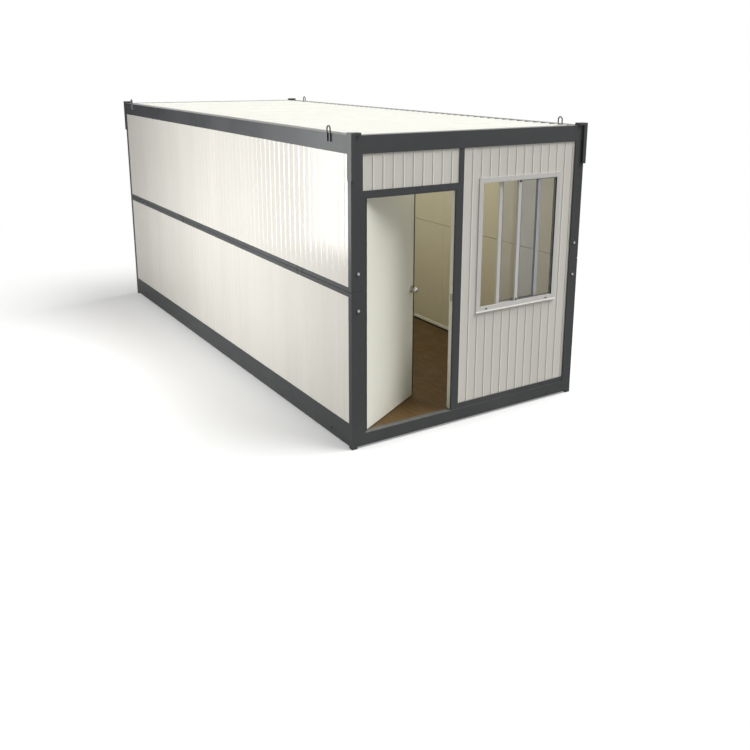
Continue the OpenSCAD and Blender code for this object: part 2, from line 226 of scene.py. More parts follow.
def makeDustAndTopLightGroup(values):
    # dust that lies on flat tops and is splashed up from the ground; on the charcoal steel the dust on tops
    # is also painted light on the top faces
    group, source, result = startGroup("settledDustAndTopLight", "ShaderNodeTree", [
        ("Splash Height", "NodeSocketFloat", 0.35),
        ("Splash", "NodeSocketFloat", 0.3),
        ("On Tops", "NodeSocketFloat", 0.2),
    ], [("Mask", "NodeSocketFloat")])
    coords = objectCoords(group)
    share = maths(group, "DIVIDE", heightOf(group, coords), source.outputs["Splash Height"])
    low = spread(group, share, 0.0, 1.0, 1.0, 0.0)
    normal = put(group, "ShaderNodeNewGeometry").outputs["Normal"]
    top = spread(group, heightOf(group, normal), *values["topRange"])
    patches = noiseOf(group, coords, values["patchScale"], values["patchDetail"], values["patchRoughness"])
    patchy = spread(group, patches, *values["patchRange"])
    splashed = maths(group, "MULTIPLY", low, source.outputs["Splash"])
    topDustAndLight = maths(group, "MULTIPLY", top, source.outputs["On Tops"])
    both = maths(group, "ADD", splashed, topDustAndLight)
    group.links.new(maths(group, "MULTIPLY", both, patchy, True), result.inputs["Mask"])
    return group


grainGroup = makeGrainGroup(grainValues)
edgeGroup = makeEdgeGroup(edgeValues)
dustAndTopLightGroup = makeDustAndTopLightGroup(dustAndTopLightValues)


# finishes

def startMaterial(name):
    material = bpy.data.materials.new(name)
    material.use_nodes = True
    material.node_tree.nodes.clear()
    return material, material.node_tree


def closeMaterial(tree, surface):
    put(tree, "ShaderNodeOutputMaterial", {"Surface": surface})


def grainOf(tree, grainScale, toneScale, stretch=(1.0, 1.0, 1.0)):
    values = {"Grain Scale": grainScale, "Tone Scale": toneScale, "Stretch": stretch}
    return put(tree, "ShaderNodeGroup", values, node_tree=grainGroup).outputs


def edgesOf(tree, radius, wear):
    return put(tree, "ShaderNodeGroup", {"Radius": radius, "Amount": wear}, node_tree=edgeGroup).outputs


def dustAndTopLightOf(tree, splashHeight, splash, onTops):
    values = {"Splash Height": splashHeight, "Splash": splash, "On Tops": onTops}
    return put(tree, "ShaderNodeGroup", values, node_tree=dustAndTopLightGroup).outputs["Mask"]


def closeCoat(tree, look, colour, rough, height, normal=None, metallic=0.0):
    bump = {"Strength": look["bump"], "Distance": look["bumpDepth"], "Height": height}
    if normal is not None:
        bump["Normal"] = normal
    shader = put(tree, "ShaderNodeBsdfPrincipled", {
        "Base Color": colour, "Roughness": rough, "Metallic": metallic,
        "Specular IOR Level": look.get("specular", 0.5),
        "Normal": put(tree, "ShaderNodeBump", bump).outputs[0]})
    closeMaterial(tree, shader.outputs[0])


usualCoat = {
    "stretch": (1.0, 1.0, 1.0),
    "edgeRadius": 0.001,
    "wear": 0.2,
    "splashHeight": 0.35,
    "splash": 0.0,
    "onTops": 0.2,
    "bump": 0.06,
    "bumpDepth": 0.0004,
    "metallic": 0.0,
    "dusty": 0.4,       # how much rougher full dust makes it
}


def coatedMaterial(name, changes):
    # two tones, grain in the bump, worn edges and dust over one Principled shader
    look = dict(usualCoat, **changes)
    material, tree = startMaterial(name)
    grain = grainOf(tree, look["grainScale"], look["toneScale"], look["stretch"])
    edges = edgesOf(tree, look["edgeRadius"], look["wear"])
    dust = dustAndTopLightOf(tree, look["splashHeight"], look["splash"], look["onTops"])
    colour = mixColour(tree, grain["Tone"], paint(*look["tones"][0]), paint(*look["tones"][1]))
    colour = mixColour(tree, edges["Mask"], colour, paint(*look["worn"]))
    colour = mixColour(tree, dust, colour, paint(*look["dust"]))
    sheen = spread(tree, grain["Tone"], 0.0, 1.0, *look["roughness"])
    dull = maths(tree, "ADD", sheen, maths(tree, "MULTIPLY", dust, look["dusty"]), True)
    closeCoat(tree, look, colour, dull, grain["Height"], edges["Normal"], look["metallic"])
    return material


earth = (158, 150, 134)

# its dust on tops is raised: partly dust, partly painted light that makes the beams' top faces lighter
charcoalCoat = coatedMaterial("charcoalCoat", {
    "tones": ((71, 73, 75), (77, 79, 80)), "worn": (108, 110, 110), "dust": earth,
    "grainScale": 900.0, "toneScale": 1.3, "edgeRadius": 0.003, "wear": 0.15, "splash": 0.05,
    "onTops": 0.35, "roughness": (0.26, 0.34), "bumpDepth": 0.0005, "specular": 0.2,
})

wallSheetPaint = coatedMaterial("wallSheetPaint", {
    "tones": ((226, 223, 215), (219, 216, 208)), "worn": (205, 202, 196), "dust": (190, 183, 168),
    "grainScale": 500.0, "toneScale": 1.6, "stretch": (2.2, 2.2, 0.22), "edgeRadius": 0.0015,
    "wear": 0.25, "splash": 0.10, "onTops": 0.25, "splashHeight": 0.7, "roughness": (0.13, 0.19),
    "bump": 0.04, "bumpDepth": 0.0006,
})

liningPaint = coatedMaterial("liningPaint", {
    "tones": ((219, 211, 187), (212, 203, 178)), "worn": (196, 188, 164), "dust": (170, 158, 132),
    "grainScale": 500.0, "toneScale": 1.1, "edgeRadius": 0.0015, "splash": 0.08, "onTops": 0.1,
    "roughness": (0.36, 0.46), "bumpDepth": 0.0006,
})

roofPaint = coatedMaterial("roofPaint", {
    "tones": ((240, 240, 233), (236, 236, 228)), "worn": (208, 206, 200), "dust": (196, 190, 178),
    "grainScale": 300.0, "toneScale": 0.9, "stretch": (0.5, 2.0, 1.0), "edgeRadius": 0.002,
    "onTops": 0.06, "roughness": (0.24, 0.32), "bump": 0.08, "bumpDepth": 0.0008, "specular": 0.2,
})

doorPaint = coatedMaterial("doorPaint", {
    "tones": ((235, 235, 223), (231, 231, 218)), "worn": (204, 202, 188), "dust": (186, 180, 162),
    "grainScale": 420.0, "toneScale": 1.2, "edgeRadius": 0.002, "splash": 0.30, "splashHeight": 0.6,
    "roughness": (0.34, 0.42), "bumpDepth": 0.0006,
})

windowPlastic = coatedMaterial("windowPlastic", {
    "tones": ((215, 213, 209), (209, 207, 203)), "worn": (196, 194, 189), "dust": (176, 171, 158),
    "grainScale": 700.0, "toneScale": 3.0, "edgeRadius": 0.002, "wear": 0.15, "onTops": 0.35,
    "roughness": (0.30, 0.38), "bump": 0.05,
})

foldRubber = coatedMaterial("foldRubber", {
    "tones": ((52, 53, 54), (60, 61, 62)), "worn": (84, 84, 82), "dust": (96, 92, 84),
    "grainScale": 1200.0, "toneScale": 4.0, "splash": 0.1, "roughness": (0.55, 0.68), "bump": 0.2,
    "specular": 0.35,
})

blackRubber = coatedMaterial("blackRubber", {
    "tones": ((30, 30, 30), (40, 40, 39)), "worn": (62, 61, 58), "dust": (96, 92, 84),
    "grainScale": 1400.0, "toneScale": 9.0, "wear": 0.3, "splash": 0.3, "onTops": 0.3,
    "roughness": (0.62, 0.76), "bump": 0.3, "specular": 0.35,
})

greyRubber = coatedMaterial("greyRubber", {
    "tones": ((112, 112, 111), (122, 122, 120)), "worn": (136, 135, 132), "dust": (110, 106, 98),
    "grainScale": 1400.0, "toneScale": 9.0, "edgeRadius": 0.0008, "roughness": (0.55, 0.68),
    "bump": 0.2, "bumpDepth": 0.0003, "specular": 0.35,
})

zincCoat = coatedMaterial("zincCoat", {
    "tones": ((186, 188, 190), (160, 163, 166)), "worn": (208, 209, 210), "dust": (150, 142, 128),
    "grainScale": 240.0, "toneScale": 34.0, "edgeRadius": 0.0008, "wear": 0.5,
    "roughness": (0.28, 0.44), "bump": 0.15, "bumpDepth": 0.0003, "metallic": 1.0,
})

darkSteel = coatedMaterial("darkSteel", {
    "tones": ((92, 93, 94), (70, 71, 73)), "worn": (150, 150, 148), "dust": earth,
    "grainScale": 300.0, "toneScale": 24.0, "wear": 0.5, "onTops": 0.1, "roughness": (0.36, 0.50),
    "bump": 0.2, "metallic": 0.85,
})

bareAluminium = coatedMaterial("bareAluminium", {
    "tones": ((150, 148, 144), (132, 130, 126)), "worn": (186, 185, 182), "dust": (120, 108, 88),
    "grainScale": 600.0, "toneScale": 6.0, "stretch": (0.2, 6.0, 1.0), "edgeRadius": 0.0008,
    "wear": 0.4, "splash": 0.2, "onTops": 0.35, "roughness": (0.30, 0.46), "bump": 0.12,
    "bumpDepth": 0.0003, "metallic": 1.0,
})


brushedValues = {
    "tones": (paint(205, 203, 198), paint(188, 186, 180)),
    "grainScale": 800.0,
    "toneScale": 60.0,
    "stretch": (6.0, 6.0, 40.0),
    "edgeRadius": 0.0008,
    "wear": 0.2,
    "roughness": (0.20, 0.32),
    "bump": 0.1,
    "bumpDepth": 0.0002,
}


def brushedMaterial(name, look):
    # turned and brushed stainless steel, with fine rings round the knob's spindle
    material, tree = startMaterial(name)
    tone = grainOf(tree, look["grainScale"], look["toneScale"], look["stretch"])["Tone"]
    edges = edgesOf(tree, look["edgeRadius"], look["wear"])
    colour = mixColour(tree, tone, *look["tones"])
    rough = spread(tree, tone, 0.0, 1.0, *look["roughness"])
    closeCoat(tree, look, colour, rough, tone, edges["Normal"], 1.0)
    return material


boltValues = {
    "face": 2.9022,     # the bolt heads stand further out than this, their washers don't
    "heads": (paint(222, 223, 225), paint(198, 200, 202)),
    "washersAndShade": (paint(62, 63, 64), paint(54, 55, 56)),
    "metallic": 0.5,
    "grainScale": 240.0,
    "toneScale": 34.0,
    "edgeRadius": 0.0008,
    "wear": 0.4,
    "roughness": (0.30, 0.44),
    "bump": 0.15,
    "bumpDepth": 0.0003,
}


def boltMaterial(name, look):
    # zinc plated heads on washers that were painted with the posts, the washers darker than the posts' paint
    # as painted shade round the heads
    material, tree = startMaterial(name)
    grain = grainOf(tree, look["grainScale"], look["toneScale"])
    edges = edgesOf(tree, look["edgeRadius"], look["wear"])
    coords = objectCoords(tree)
    away = maths(tree, "ABSOLUTE", put(tree, "ShaderNodeSeparateXYZ", {0: coords}).outputs["Y"])
    head = maths(tree, "GREATER_THAN", away, look["face"])
    zinc = mixColour(tree, grain["Tone"], *look["heads"])
    # washer colour, darker than the posts' paint: painted shade round each head
    painted = mixColour(tree, grain["Tone"], *look["washersAndShade"])
    rough = spread(tree, grain["Tone"], 0.0, 1.0, *look["roughness"])
    metal = maths(tree, "MULTIPLY", head, look["metallic"])
    colour = mixColour(tree, head, painted, zinc)
    closeCoat(tree, look, colour, rough, grain["Height"], edges["Normal"], metal)
    return material


floorValues = {
    "tones": (paint(95, 71, 35), paint(87, 64, 31)),
    "toneScale": 1.4,
    "toneStretch": (3.0, 0.5, 1.0),
    "grainTone": paint(77, 56, 27),
    "grainScale": 6.5,
    "grainStretch": (9.0, 0.7, 1.0),
    "grainShare": 0.7,
    "figure": (7.0, 0.5, 0.8),      # detail, roughness and distortion of the grain
    "streakRange": (0.42, 0.66),
    "sheenRange": (0.3, 0.7),
    "dust": 0.10,
    "roughness": (0.46, 0.60),
    "specular": 0.22,
    "bump": 0.2,
    "bumpDepth": 0.0006,
}


def floorMaterial(name, look):
    # brown wood-grain sheet, the grain running along the house
    material, tree = startMaterial(name)
    tone = grainOf(tree, look["grainScale"], look["toneScale"], look["toneStretch"])["Tone"]
    coords = objectCoords(tree)
    along = put(tree, "ShaderNodeMapping", {"Vector": coords, "Scale": look["grainStretch"]}).outputs[0]
    figure = noiseOf(tree, along, look["grainScale"], *look["figure"])
    streak = maths(tree, "MULTIPLY", spread(tree, figure, *look["streakRange"]), look["grainShare"])
    colour = mixColour(tree, streak, mixColour(tree, tone, *look["tones"]), look["grainTone"])
    colour = mixColour(tree, dustAndTopLightOf(tree, 1.0, 0.0, look["dust"]), colour, paint(*earth))
    rough = spread(tree, figure, *look["sheenRange"], *look["roughness"])
    closeCoat(tree, look, colour, rough, figure)
    return material


glassValues = {
    "tints": (paint(236, 238, 244), paint(228, 230, 236)),
    "smearScale": 2.2,
    "smearStretch": (1.0, 1.0, 0.6),
    "roughness": (0.01, 0.04),
    "ior": 1.5,
}


def glassMaterial(name, look):
    # clear float glass with a faint grey-violet body and a few smears
    material, tree = startMaterial(name)
    smear = grainOf(tree, look["smearScale"], look["smearScale"], look["smearStretch"])["Tone"]
    tint = mixColour(tree, smear, *look["tints"])
    rough = spread(tree, smear, 0.0, 1.0, *look["roughness"])
    shader = put(tree, "ShaderNodeBsdfPrincipled", {"Base Color": tint, "Roughness": rough})
    shader.inputs["Metallic"].default_value = 0.0
    shader.inputs["Transmission Weight"].default_value = 1.0
    shader.inputs["IOR"].default_value = look["ior"]
    closeMaterial(tree, shader.outputs[0])
    return material


brushedSteel = brushedMaterial("brushedSteel", brushedValues)
boltSteel = boltMaterial("boltSteel", boltValues)
floorSheet = floorMaterial("floorSheet", floorValues)
clearGlass = glassMaterial("clearGlass", glassValues)

cadFinishes = {
    "frame_steel": charcoalCoat, "wall_panel": liningPaint, "roof_sheet": liningPaint,
    "floor_board": floorSheet, "rubber_seal": blackRubber, "bright_steel": zincCoat,
    "window_plastic": windowPlastic, "glass": clearGlass, "door_sheet": doorPaint,
}
otherFinishes = {
    "lifting_rings": darkSteel, "door_knob": brushedSteel, "knob_roses": brushedSteel,
    "fold_seals": foldRubber, "post_bolts": boltSteel,
}

for nodeName, node in nodes.items():
    slot = node.material_slots[0]
    slot.material = otherFinishes.get(nodeName) or cadFinishes[slot.material.name]
print("finishes: made", len(bpy.data.materials), "and put on the frame")


# mesh helpers

meshValues = {
    "roundingSteps": 2,
    "smoothAngle": 32.0,    # edges sharper than this stay sharp in a smooth piece
    "near": 0.0005,         # corners this close to a face or a level count as on it
    "cut": 0.00001,
}


def addBlock(bm, low, high, rounding=0.0, turn=None):
    verts = bmesh.ops.create_cube(bm, size=1.0)["verts"]
    for vert in verts:
        for axis in range(3):
            vert.co[axis] = low[axis] + (vert.co[axis] + 0.5) * (high[axis] - low[axis])
    if turn is not None:
        bmesh.ops.transform(bm, matrix=turn, verts=verts)
    if rounding > 0.0:
        edges = list({edge for vert in verts for edge in vert.link_edges})
        bmesh.ops.bevel(bm, geom=edges, offset=rounding, profile=0.5, affect="EDGES",
                        segments=meshValues["roundingSteps"])


def addPrism(bm, outline, low, high, turn=None):
    # an outline in the XY plane drawn out along Z, then turned
    bottom = [bm.verts.new((x, y, low)) for x, y in outline]
    top = [bm.verts.new((x, y, high)) for x, y in outline]
    bm.faces.new(list(reversed(bottom)))
    bm.faces.new(top)
    count = len(outline)
    for i in range(count):
        after = (i + 1) % count
        bm.faces.new((bottom[i], bottom[after], top[after], top[i]))
    if turn is not None:
        bmesh.ops.transform(bm, matrix=turn, verts=bottom + top)


def addRing(bm, low, high, bar, rounding=0.0, turn=None):
    # four bars round a rectangle that stands in the XZ plane
    addBlock(bm, low, (low[0] + bar, high[1], high[2]), rounding, turn)
    addBlock(bm, (high[0] - bar, low[1], low[2]), high, rounding, turn)
    addBlock(bm, (low[0] + bar, low[1], low[2]), (high[0] - bar, high[1], low[2] + bar), rounding, turn)
    addBlock(bm, (low[0] + bar, low[1], high[2] - bar), (high[0] - bar, high[1], high[2]), rounding, turn)


def meshOf(bm, name, closed=True):
    if closed:
        bmesh.ops.recalc_face_normals(bm, faces=bm.faces)
    mesh = bpy.data.meshes.new(name)
    bm.to_mesh(mesh)
    bm.free()
    return mesh


def finishPiece(name, mesh, material, body="house", smooth=False):
    mesh.name = name
    mesh.materials.clear()
    mesh.materials.append(material)
    if smooth:
        mesh.shade_smooth()
        mesh.set_sharp_from_angle(angle=math.radians(meshValues["smoothAngle"]))
    piece = addObject(name, mesh)
    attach(piece, body)
    return piece


def thicken(piece, thick):
    # gives a sheet its thickness, behind its face
    modifier = piece.modifiers.new("thickness", "SOLIDIFY")
    modifier.thickness = thick
    modifier.offset = -1.0


def blockPiece(name, blocks, material, body="house", rounding=0.0, turn=None):
    # one piece made of blocks, each given by its lowest and its highest corner
    bm = bmesh.new()
    for low, high in blocks:
        addBlock(bm, low, high, rounding, turn)
    finishPiece(name, meshOf(bm, name), material, body)


def pointsOf(node, turn):
    # a node's corners in a frame that turn leads out of
    back = turn.inverted()
    return [back @ vert.co for vert in nodes[node].data.vertices]


def cornersOf(points):
    low = Vector([min(point[axis] for point in points) for axis in range(3)])
    high = Vector([max(point[axis] for point in points) for axis in range(3)])
    return low, high


def localBox(node, turn):
    return cornersOf(pointsOf(node, turn))


def outerFace(node, turn):
    # the same of the node's outermost face alone, at its lowest local Y
    points = pointsOf(node, turn)
    face = min(point.y for point in points)
    return cornersOf([point for point in points if point.y < face + meshValues["near"]])


def stepsOf(node, axis, digits=4):
    # the different places of a node's corners along an axis, in order
    return sorted({round(vert.co[axis], digits) for vert in nodes[node].data.vertices})


# geometry node trees for what repeats

def makeRepeatTree():
    # copies of the seed geometry in a row, joined where they meet
    tree, source, result = startGroup("repeatInRow", "GeometryNodeTree", [
        ("Geometry", "NodeSocketGeometry", None),
        ("Count", "NodeSocketInt", 2),
        ("Step", "NodeSocketVector", (0.1, 0.0, 0.0)),
        ("Join Distance", "NodeSocketFloat", 0.00005),
        ("Material", "NodeSocketMaterial", None),
    ], [("Geometry", "NodeSocketGeometry")])
    line = put(tree, "GeometryNodeMeshLine", {
        "Count": source.outputs["Count"], "Offset": source.outputs["Step"]}, mode="OFFSET")
    copies = put(tree, "GeometryNodeInstanceOnPoints", {
        "Points": line.outputs[0], "Instance": source.outputs["Geometry"]})
    real = put(tree, "GeometryNodeRealizeInstances", {0: copies.outputs[0]})
    joined = put(tree, "GeometryNodeMergeByDistance", {
        "Geometry": real.outputs[0], "Distance": source.outputs["Join Distance"]})
    coated = put(tree, "GeometryNodeSetMaterial", {
        "Geometry": joined.outputs[0], "Material": source.outputs["Material"]})
    tree.links.new(coated.outputs[0], result.inputs[0])
    return tree


def makePlaceTree():
    # copies of a part on the seed's points, each turned a little differently about its own axis
    tree, source, result = startGroup("placeOnPoints", "GeometryNodeTree", [
        ("Geometry", "NodeSocketGeometry", None),
        ("Part", "NodeSocketObject", None),
        ("Facing", "NodeSocketVector", (0.0, 0.0, 0.0)),
        ("Twist", "NodeSocketFloat", 0.0),
        ("Size Change", "NodeSocketFloat", 0.0),
        ("Seed", "NodeSocketInt", 1),
        ("Material", "NodeSocketMaterial", None),
    ], [("Geometry", "NodeSocketGeometry")])
    part = put(tree, "GeometryNodeObjectInfo", {"Object": source.outputs["Part"]})
    least = maths(tree, "MULTIPLY", source.outputs["Twist"], -1.0)
    twist = put(tree, "FunctionNodeRandomValue", {
        2: least, 3: source.outputs["Twist"], "Seed": source.outputs["Seed"]}, data_type="FLOAT")
    smallest = maths(tree, "SUBTRACT", 1.0, source.outputs["Size Change"])
    largest = maths(tree, "ADD", 1.0, source.outputs["Size Change"])
    size = put(tree, "FunctionNodeRandomValue", {
        2: smallest, 3: largest, "Seed": source.outputs["Seed"]}, data_type="FLOAT")
    turn = put(tree, "ShaderNodeCombineXYZ", {"Z": twist.outputs[1]})
    copies = put(tree, "GeometryNodeInstanceOnPoints", {
        "Points": source.outputs["Geometry"], "Instance": part.outputs["Geometry"],
        "Rotation": source.outputs["Facing"], "Scale": size.outputs[1]})
    twisted = put(tree, "GeometryNodeRotateInstances", {
        "Instances": copies.outputs[0], "Rotation": turn.outputs[0]})
    real = put(tree, "GeometryNodeRealizeInstances", {0: twisted.outputs[0]})
    coated = put(tree, "GeometryNodeSetMaterial", {
        "Geometry": real.outputs[0], "Material": source.outputs["Material"]})
    tree.links.new(coated.outputs[0], result.inputs[0])
    return tree


repeatTree = makeRepeatTree()
placeTree = makePlaceTree()


def grow(tree, seed, values):
    # runs a geometry node tree on a mesh and hands back the plain mesh that it makes
    carrier = addObject("carrier", seed)
    modifier = carrier.modifiers.new("grow", "NODES")
    modifier.node_group = tree
    for item in tree.interface.items_tree:
        if item.item_type == "SOCKET" and item.in_out == "INPUT" and item.name in values:
            modifier[item.identifier] = values[item.name]
    depsgraph = bpy.context.evaluated_depsgraph_get()
    plain = bpy.data.meshes.new_from_object(carrier.evaluated_get(depsgraph), depsgraph=depsgraph)
    carrier.modifiers.clear()
    bpy.data.objects.remove(carrier)
    return plain


def placeCopies(points, part, values):
    seed = bpy.data.meshes.new("points")
    seed.from_pydata([tuple(point) for point in points], [], [])
    holder = addObject("part", part)
    plain = grow(placeTree, seed, dict(values, Part=holder))
    bpy.data.objects.remove(holder)
    return plain


# ribbed sheets on the outside of the walls

def wallTurn(side):
    # leads from a wall's own frame (X along the wall, Y into it, Z up) to the house
    angle = {"front": 0, "right": 90, "rear": 180, "left": -90}[side]
    return Matrix.Rotation(math.radians(angle), 4, "Z")


# node, side of the house and short name of each panel without a window
wallPanels = [(side + "_" + half + "_panel", side, side + half.capitalize())
              for side in ("left", "right") for half in ("lower", "upper")]
wallPanels += [("rear_left_panel", "rear", "rearLeft"), ("rear_right_panel", "rear", "rearRight"),
               ("transom_panel", "front", "transom")]

sheetValues = {
    "pitch": 0.0945,
    "side": {"height": 0.0014, "rise": 0.003, "fall": 0.025, "curve": 2.0, "first": 0.059},    # long sides
    "end": {"height": 0.0045, "rise": 0.003, "fall": 0.014, "curve": 1.1, "first": 0.099},     # front, rear
    "bends": 5,             # flats that the long slope of a rib is made of
    "clear": 0.0010,        # from the panel's face to the back of the sheet
    "sheet": 0.0007,
}


def ribbedStrip(values, rib, low, high):
    # one pitch of the sheet, its face towards -Y: a steep rise, then a long slope that bends down
    half = values["pitch"] / 2
    start = -(rib["rise"] + rib["fall"]) / 2
    line = [(-half, 0.0), (start, 0.0)]
    for i in range(values["bends"] + 1):
        share = i / values["bends"]
        across = start + rib["rise"] + share * rib["fall"]
        line.append((across, rib["height"] * (1.0 - share ** rib["curve"])))
    line.append((half, 0.0))
    bm = bmesh.new()
    lower = [bm.verts.new((x, -y, low)) for x, y in line]
    upper = [bm.verts.new((x, -y, high)) for x, y in line]
    for i in range(len(line) - 1):
        bm.faces.new((lower[i], lower[i + 1], upper[i + 1], upper[i]))
    return meshOf(bm, "strip", False)


def cutSheet(bm, low, high, hole=None):
    # trims a sheet to a rectangle in X and Z, and cuts a hole out of it
    def cut(place, normal, clear):
        everything = bm.verts[:] + bm.edges[:] + bm.faces[:]
        bmesh.ops.bisect_plane(bm, geom=everything, plane_co=place, plane_no=normal,
                               clear_outer=clear, dist=meshValues["cut"])
    cut(low, (-1, 0, 0), True)
    cut(high, (1, 0, 0), True)
    if hole is None:
        return
    for corner in hole:
        cut(corner, (1, 0, 0), False)
    for corner in hole:
        cut(corner, (0, 0, 1), False)
    holeLow, holeHigh = hole
    inside = []
    for face in bm.faces:
        centre = face.calc_center_median()
        if holeLow.x < centre.x < holeHigh.x and holeLow.z < centre.z < holeHigh.z:
            inside.append(face)
    bmesh.ops.delete(bm, geom=inside, context="FACES")


def ribbedSkin(name, side, low, high, rib, hole=None):
    strip = ribbedStrip(sheetValues, rib, low.z, high.z)
    pitch = sheetValues["pitch"]
    count = math.ceil((high.x - low.x) / pitch) + 2
    mesh = grow(repeatTree, strip, {"Count": count, "Step": (pitch, 0.0, 0.0), "Material": wallSheetPaint})
    bm = bmesh.new()
    bm.from_mesh(mesh)
    start = (low.x + rib["first"] - pitch, low.y - sheetValues["clear"], 0.0)
    bmesh.ops.translate(bm, verts=bm.verts, vec=start)
    cutSheet(bm, low, high, hole)
    bmesh.ops.transform(bm, matrix=wallTurn(side), verts=bm.verts)
    bm.to_mesh(mesh)
    bm.free()
    thicken(finishPiece(name, mesh, wallSheetPaint), sheetValues["sheet"])


def addSkins():
    for node, side, stem in wallPanels:
        low, high = outerFace(node, wallTurn(side))
        rib = sheetValues["side" if side in ("left", "right") else "end"]
        ribbedSkin(stem + "Skin", side, low, high, rib)
    low, high = outerFace("front_wall_sides", wallTurn("front"))
    ribbedSkin("windowWallSkin", "front", low, high, sheetValues["end"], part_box("window_frame"))


addSkins()
print("walls: ribbed sheets on")


# roof sheet with standing ribs across the house

roofValues = {
    "clear": 0.0006,
    "sheet": 0.0006,
    "edgeGap": 0.002,
}


def addRoofSheet(values):
    # the panel's own profile, one pitch of it read off the frame and laid along the house
    low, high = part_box("roof_panel")
    corners = {(round(vert.co.y, 5), round(vert.co.z, 5)) for vert in nodes["roof_panel"].data.vertices}
    near = meshValues["near"]
    crests = sorted(y for y, z in corners if z > high.z - near)
    flat = max(z for y, z in corners if z < high.z - near)
    feet = sorted(y for y, z in corners if abs(z - flat) < near)
    pitch = crests[2] - crests[0]
    rib = [(feet[1], flat), (crests[0], high.z), (crests[1], high.z), (feet[2], flat)]
    line = [(low.y, flat)] + rib + [(low.y + pitch, flat)]
    bm = bmesh.new()
    rows = [[bm.verts.new((x, y, z + values["clear"])) for y, z in line]
            for x in (low.x + values["edgeGap"], high.x - values["edgeGap"])]
    left, right = rows
    for i in range(len(line) - 1):
        bm.faces.new((left[i], right[i], right[i + 1], left[i + 1]))
    bm.faces.new(left[1:5])
    bm.faces.new(list(reversed(right[1:5])))
    mesh = grow(repeatTree, meshOf(bm, "roofStrip", False), {
        "Count": len(crests) // 2, "Step": (0.0, pitch, 0.0), "Material": roofPaint})
    thicken(finishPiece("roofSheet", mesh, roofPaint), values["sheet"])


addRoofSheet(roofValues)
print("roof: sheet on")


# inside: lining sheets, ceiling, skirting and floor

insideValues = {
    "sheetWidth": 0.950,
    "joint": 0.003,
    "lining": 0.0015,
    "skirtHeight": 0.048,
    "skirtThick": 0.009,
    "skirtRounding": 0.0015,
    "shadowGap": 0.020,
    # inset of the black strip under the skirting: a seal, and painted shade of the gap there
    "sealAndShadeInset": 0.004,
    "floorSheet": 0.002,
    "boardWidth": 1.220,
    "boardJoint": 0.0015,
    "fit": 0.001,           # room between the floor sheets and the walls
    "doorReach": 0.030,     # how far the floor sheet runs out into the doorway
    "doorSide": 0.024,      # and how far it stays off the uprights there
    "rounding": 0.0005,
}


def sheetRow(low, high, axis, width, joint, material):
    # sheets of about one width side by side along an axis, with open joints between them
    count = max(1, round((high[axis] - low[axis]) / width))
    step = (high[axis] - low[axis]) / count
    near = list(low)
    far = list(high)
    near[axis] = low[axis] + joint / 2
    far[axis] = low[axis] + step - joint / 2
    shift = [0.0, 0.0, 0.0]
    shift[axis] = step
    bm = bmesh.new()
    addBlock(bm, near, far, insideValues["rounding"])
    return grow(repeatTree, meshOf(bm, "sheet"), {
        "Count": count, "Step": shift, "Join Distance": 0.0, "Material": material})


def addLinings():
    joint = insideValues["joint"]
    for node, side, stem in wallPanels:
        low, high = localBox(node, wallTurn(side))
        low = (low.x, high.y, low.z + joint)
        high = (high.x, high.y + insideValues["lining"], high.z - joint)
        mesh = sheetRow(low, high, 0, insideValues["sheetWidth"], joint, liningPaint)
        mesh.transform(wallTurn(side))
        finishPiece(stem + "Lining", mesh, liningPaint)


def addCeiling():
    low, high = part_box("roof_panel")
    under = (low.x, low.y, low.z - insideValues["lining"])
    mesh = sheetRow(under, (high.x, high.y, low.z), 1, insideValues["sheetWidth"], insideValues["joint"],
                    liningPaint)
    finishPiece("ceilingSheets", mesh, liningPaint)


def addSkirting():
    # light boards along the foot of the walls, over a black rubber strip that is a seal and also painted
    # shade of the gap under the boards
    values = insideValues
    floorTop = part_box("floor_board")[1].z + values["floorSheet"]
    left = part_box("left_lower_panel")[1].x
    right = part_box("right_lower_panel")[0].x
    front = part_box("front_bottom_rail")[1].y
    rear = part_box("rear_bottom_rail")[0].y
    thick = values["skirtThick"]
    inset = values["sealAndShadeInset"]
    split = floorTop + values["shadowGap"]
    top = floorTop + values["skirtHeight"]
    runs = [
        ((left, front), (left + thick, rear)),
        ((right - thick, front), (right, rear)),
        ((left + thick, rear - thick), (right - thick, rear)),
        ((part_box("front_mullion")[1].x, front), (right - thick, front + thick)),
    ]
    boards = bmesh.new()
    shadows = bmesh.new()
    for (x0, y0), (x1, y1) in runs:
        addBlock(boards, (x0, y0, split), (x1, y1, top), values["skirtRounding"])
        insetX, insetY = (inset, 0.0) if x1 - x0 < y1 - y0 else (0.0, inset)
        addBlock(shadows, (x0 + insetX / 4, y0 + insetY / 4, floorTop), (x1 - insetX, y1 - insetY, split))
    finishPiece("skirtingBoards", meshOf(boards, "boards"), doorPaint)
    # the black strip under the boards: a seal, and painted shade of the gap
    finishPiece("skirtingSeal", meshOf(shadows, "shadows"), blackRubber)


def addFloorSheets():
    # sheets of floor covering, laid over the front and rear beams up to the walls
    values = insideValues
    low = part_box("floor_board")[1].z
    high = low + values["floorSheet"]
    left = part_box("left_lower_panel")[1].x + values["fit"]
    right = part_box("right_lower_panel")[0].x - values["fit"]
    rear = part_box("rear_bottom_rail")[0].y - values["fit"]
    uprightLow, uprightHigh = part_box("front_mullion")
    wallLine = uprightHigh.y + values["fit"]
    mesh = sheetRow((left, wallLine, low), (right, rear, high), 1,
                    values["boardWidth"], values["boardJoint"], floorSheet)
    bm = bmesh.new()
    bm.from_mesh(mesh)
    addBlock(bm, (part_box("door_frame")[0].x + values["doorSide"], uprightHigh.y - values["doorReach"], low),
             (uprightLow.x - values["doorSide"], wallLine, high))
    bm.to_mesh(mesh)
    bm.free()
    finishPiece("floorSheets", mesh, floorSheet)


addLinings()
addCeiling()
addSkirting()
addFloorSheets()
print("inside: linings, ceiling, skirting and floor in")


# door: threshold, seal, jamb lining, edge trims, lock and screws

